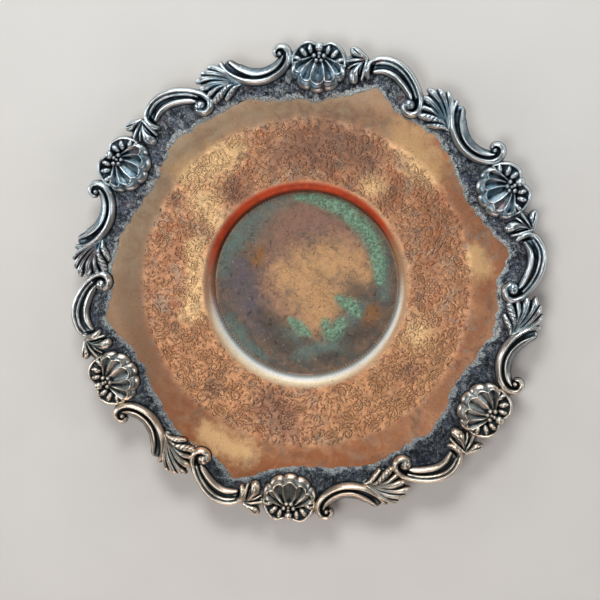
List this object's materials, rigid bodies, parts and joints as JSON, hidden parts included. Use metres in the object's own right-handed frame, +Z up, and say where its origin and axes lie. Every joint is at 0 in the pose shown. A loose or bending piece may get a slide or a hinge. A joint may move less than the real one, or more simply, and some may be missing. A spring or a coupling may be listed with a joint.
{
  "type": "silver salver",
  "caption": "Round serving salver with a sunken centre, an engraved copper band and a cast silver border of shells, leaves and C-scrolls.",
  "frame": {"origin": "centre of the flat underside of the well, on the surface that the salver stands on", "axes": "+Z up, out of the dish; +Y through the middle of the first shell; +X to its right seen from above"},
  "size_m": [0.2752, 0.28, 0.021],
  "materials": {
    "worn_copper": "copper sheet, its silver plating worn off, brushed sheen with tarnish and verdigris in the well",
    "oxidised_silver": "dark oxidised and pitted silver ground",
    "antique_silver": "antique silver, bright worn crests over blackened recesses"
  },
  "bodies": {
    "root": {"tray_plate": "worn_copper", "border_ring": "oxidised_silver", "shell_1": "antique_silver", "shell_2": "antique_silver", "shell_3": "antique_silver", "shell_4": "antique_silver", "shell_5": "antique_silver", "shell_6": "antique_silver", "leaf_clasp_1": "antique_silver", "leaf_clasp_2": "antique_silver", "leaf_clasp_3": "antique_silver", "leaf_clasp_4": "antique_silver", "leaf_clasp_5": "antique_silver", "leaf_clasp_6": "antique_silver", "outer_scroll_1": "antique_silver", "outer_scroll_2": "antique_silver", "outer_scroll_3": "antique_silver", "outer_scroll_4": "antique_silver", "outer_scroll_5": "antique_silver", "outer_scroll_6": "antique_silver", "acanthus_leaf_1": "antique_silver", "acanthus_leaf_2": "antique_silver", "acanthus_leaf_3": "antique_silver", "acanthus_leaf_4": "antique_silver", "acanthus_leaf_5": "antique_silver", "acanthus_leaf_6": "antique_silver", "inner_scroll_1": "antique_silver", "inner_scroll_2": "antique_silver", "inner_scroll_3": "antique_silver", "inner_scroll_4": "antique_silver", "inner_scroll_5": "antique_silver", "inner_scroll_6": "antique_silver"}
  },
  "joints": []
}
